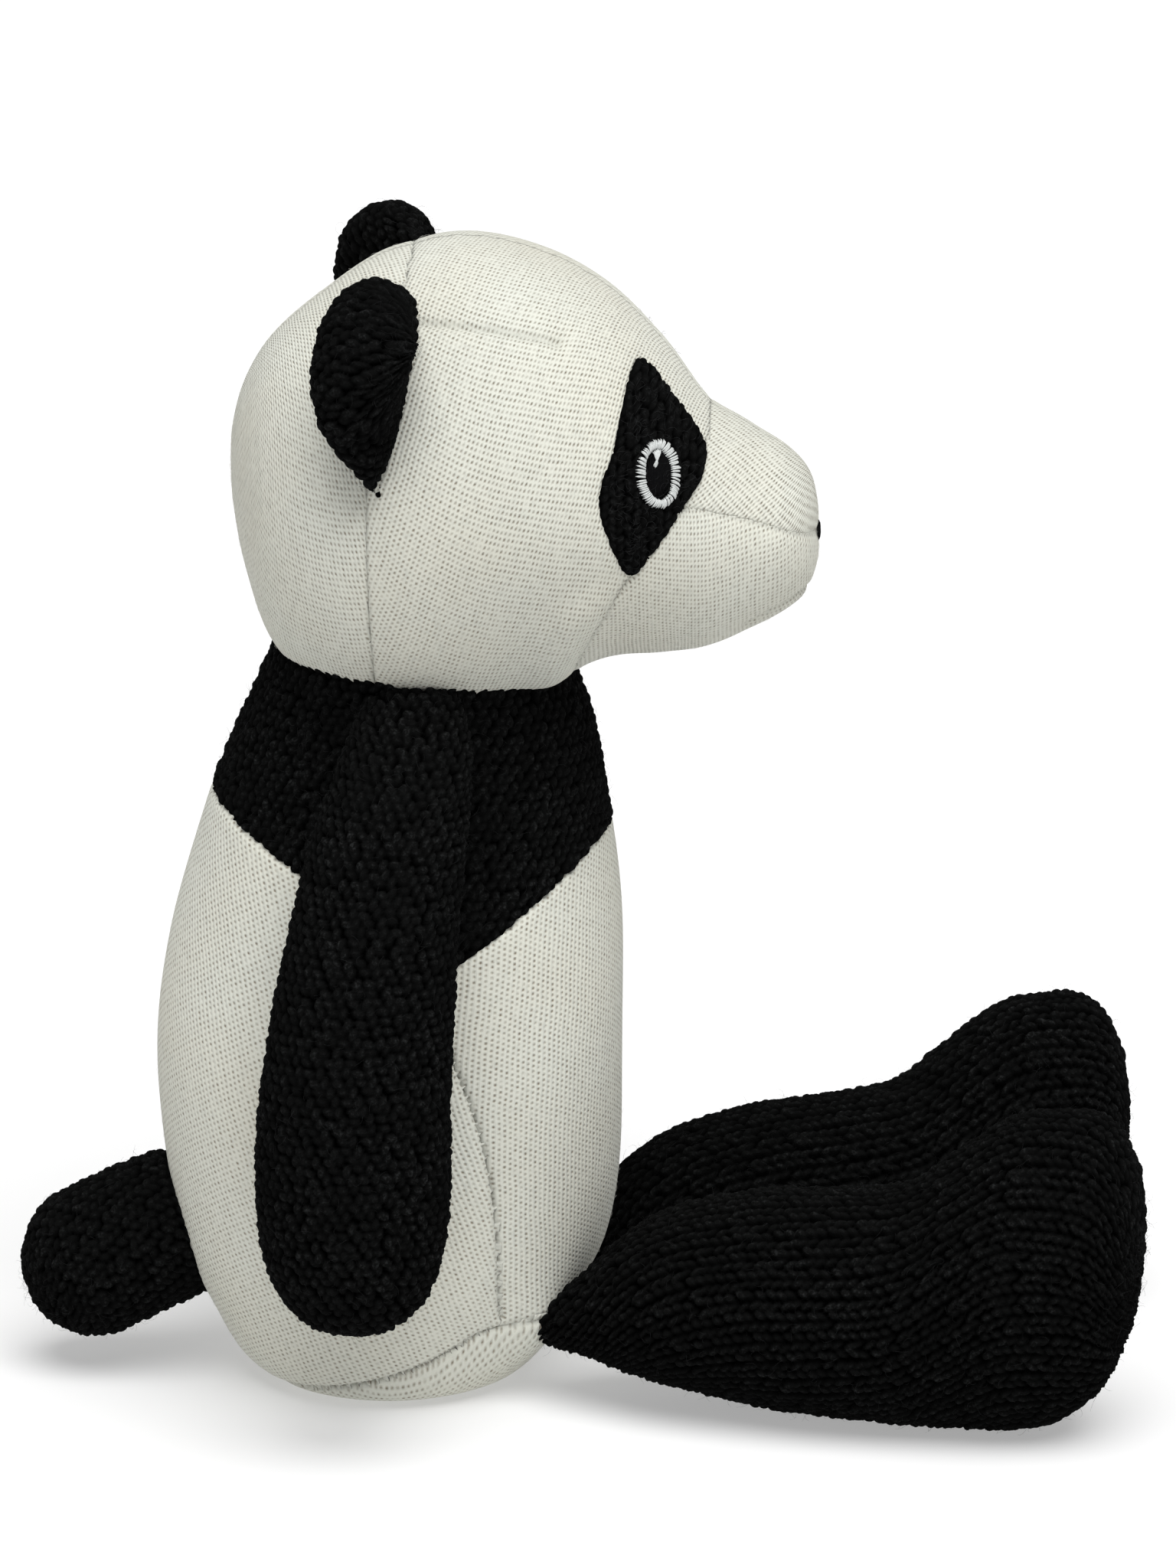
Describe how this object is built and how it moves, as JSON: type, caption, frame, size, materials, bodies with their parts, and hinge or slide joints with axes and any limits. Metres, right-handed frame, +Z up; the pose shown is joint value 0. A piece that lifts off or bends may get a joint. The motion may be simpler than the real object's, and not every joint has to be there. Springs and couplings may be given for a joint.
{
  "type": "plush panda",
  "caption": "Sitting knitted plush panda: cream jersey head and body, chunky black knit limbs, ears, tail and shoulder yoke, with a turning head and swinging arms and legs.",
  "frame": {"origin": "on the surface it sits on, in the middle of the object's box", "axes": "+Z up, -Y the way it faces, +X to its left hand; the sides mirror each other across X = 0"},
  "size_m": [0.2006, 0.2923, 0.3055],
  "materials": {
    "cream_jersey": "fine jersey knit",
    "black_knit": "chunky wool knit",
    "patch_knit": "close wool knit",
    "pale_thread": "satin stitch",
    "dark_thread": "satin stitch",
    "fibre_filling": "loose fibre"
  },
  "bodies": {
    "torso": {"yoke": "black_knit", "belly_panel": "cream_jersey", "back_panel": "cream_jersey", "seat_gusset": "cream_jersey", "body_filling": "fibre_filling"},
    "neck": {"neck_filling": "fibre_filling"},
    "head": {"head_front_panel": "cream_jersey", "head_back_panel": "cream_jersey", "muzzle_panel": "cream_jersey", "chin_panel": "cream_jersey", "head_filling": "fibre_filling", "eye_patch_right": "patch_knit", "eye_patch_left": "patch_knit", "eye_ring_right": "pale_thread", "eye_ring_left": "pale_thread", "eye_glint_right": "pale_thread", "eye_glint_left": "pale_thread", "nose": "dark_thread"},
    "tail": {"tail_cover": "black_knit", "tail_filling": "fibre_filling"},
    "ear_right": {"ear_front_right": "black_knit", "ear_back_right": "black_knit"},
    "arm_right": {"arm_cover_right": "black_knit", "arm_filling_right": "fibre_filling"},
    "leg_right": {"leg_cover_right": "black_knit", "leg_filling_right": "fibre_filling"},
    "ear_left": {"ear_front_left": "black_knit", "ear_back_left": "black_knit"},
    "arm_left": {"arm_cover_left": "black_knit", "arm_filling_left": "fibre_filling"},
    "leg_left": {"leg_cover_left": "black_knit", "leg_filling_left": "fibre_filling"}
  },
  "joints": [
    {"name": "neck_turn", "type": "hinge", "parent": "torso", "child": "neck", "pos_m": [0, 0.04, 0.192], "axis": [0, 0, 1], "range_deg": [-30, 30]},
    {"name": "head_nod", "type": "hinge", "parent": "neck", "child": "head", "pos_m": [0, 0.04, 0.192], "axis": [1, 0, 0], "range_deg": [-10, 10]},
    {"name": "shoulder_right", "type": "hinge", "parent": "torso", "child": "arm_right", "pos_m": [-0.044, 0.042, 0.18], "axis": [1, 0, 0], "range_deg": [-95, 30]},
    {"name": "shoulder_left", "type": "hinge", "parent": "torso", "child": "arm_left", "pos_m": [0.044, 0.042, 0.18], "axis": [1, 0, 0], "range_deg": [-95, 30]},
    {"name": "hip_right", "type": "hinge", "parent": "torso", "child": "leg_right", "pos_m": [-0.027, 0.006, 0.02], "axis": [1, 0, 0], "range_deg": [-12, 80]},
    {"name": "hip_left", "type": "hinge", "parent": "torso", "child": "leg_left", "pos_m": [0.027, 0.006, 0.02], "axis": [1, 0, 0], "range_deg": [-12, 80]},
    {"name": "tail_swing", "type": "hinge", "parent": "torso", "child": "tail", "pos_m": [0, 0.101, 0.042], "axis": [1, 0, 0], "range_deg": [-5, 25]},
    {"name": "ear_fold_right", "type": "hinge", "parent": "head", "child": "ear_right", "pos_m": [-0.05, 0.0445, 0.276], "axis": [0.5878, -0.182, 0.7883], "range_deg": [-15, 15], "stiffness_Nm_per_rad": 0.02},
    {"name": "ear_fold_left", "type": "hinge", "parent": "head", "child": "ear_left", "pos_m": [0.05, 0.0445, 0.276], "axis": [-0.5878, -0.182, 0.7883], "range_deg": [-15, 15], "stiffness_Nm_per_rad": 0.02}
  ]
}
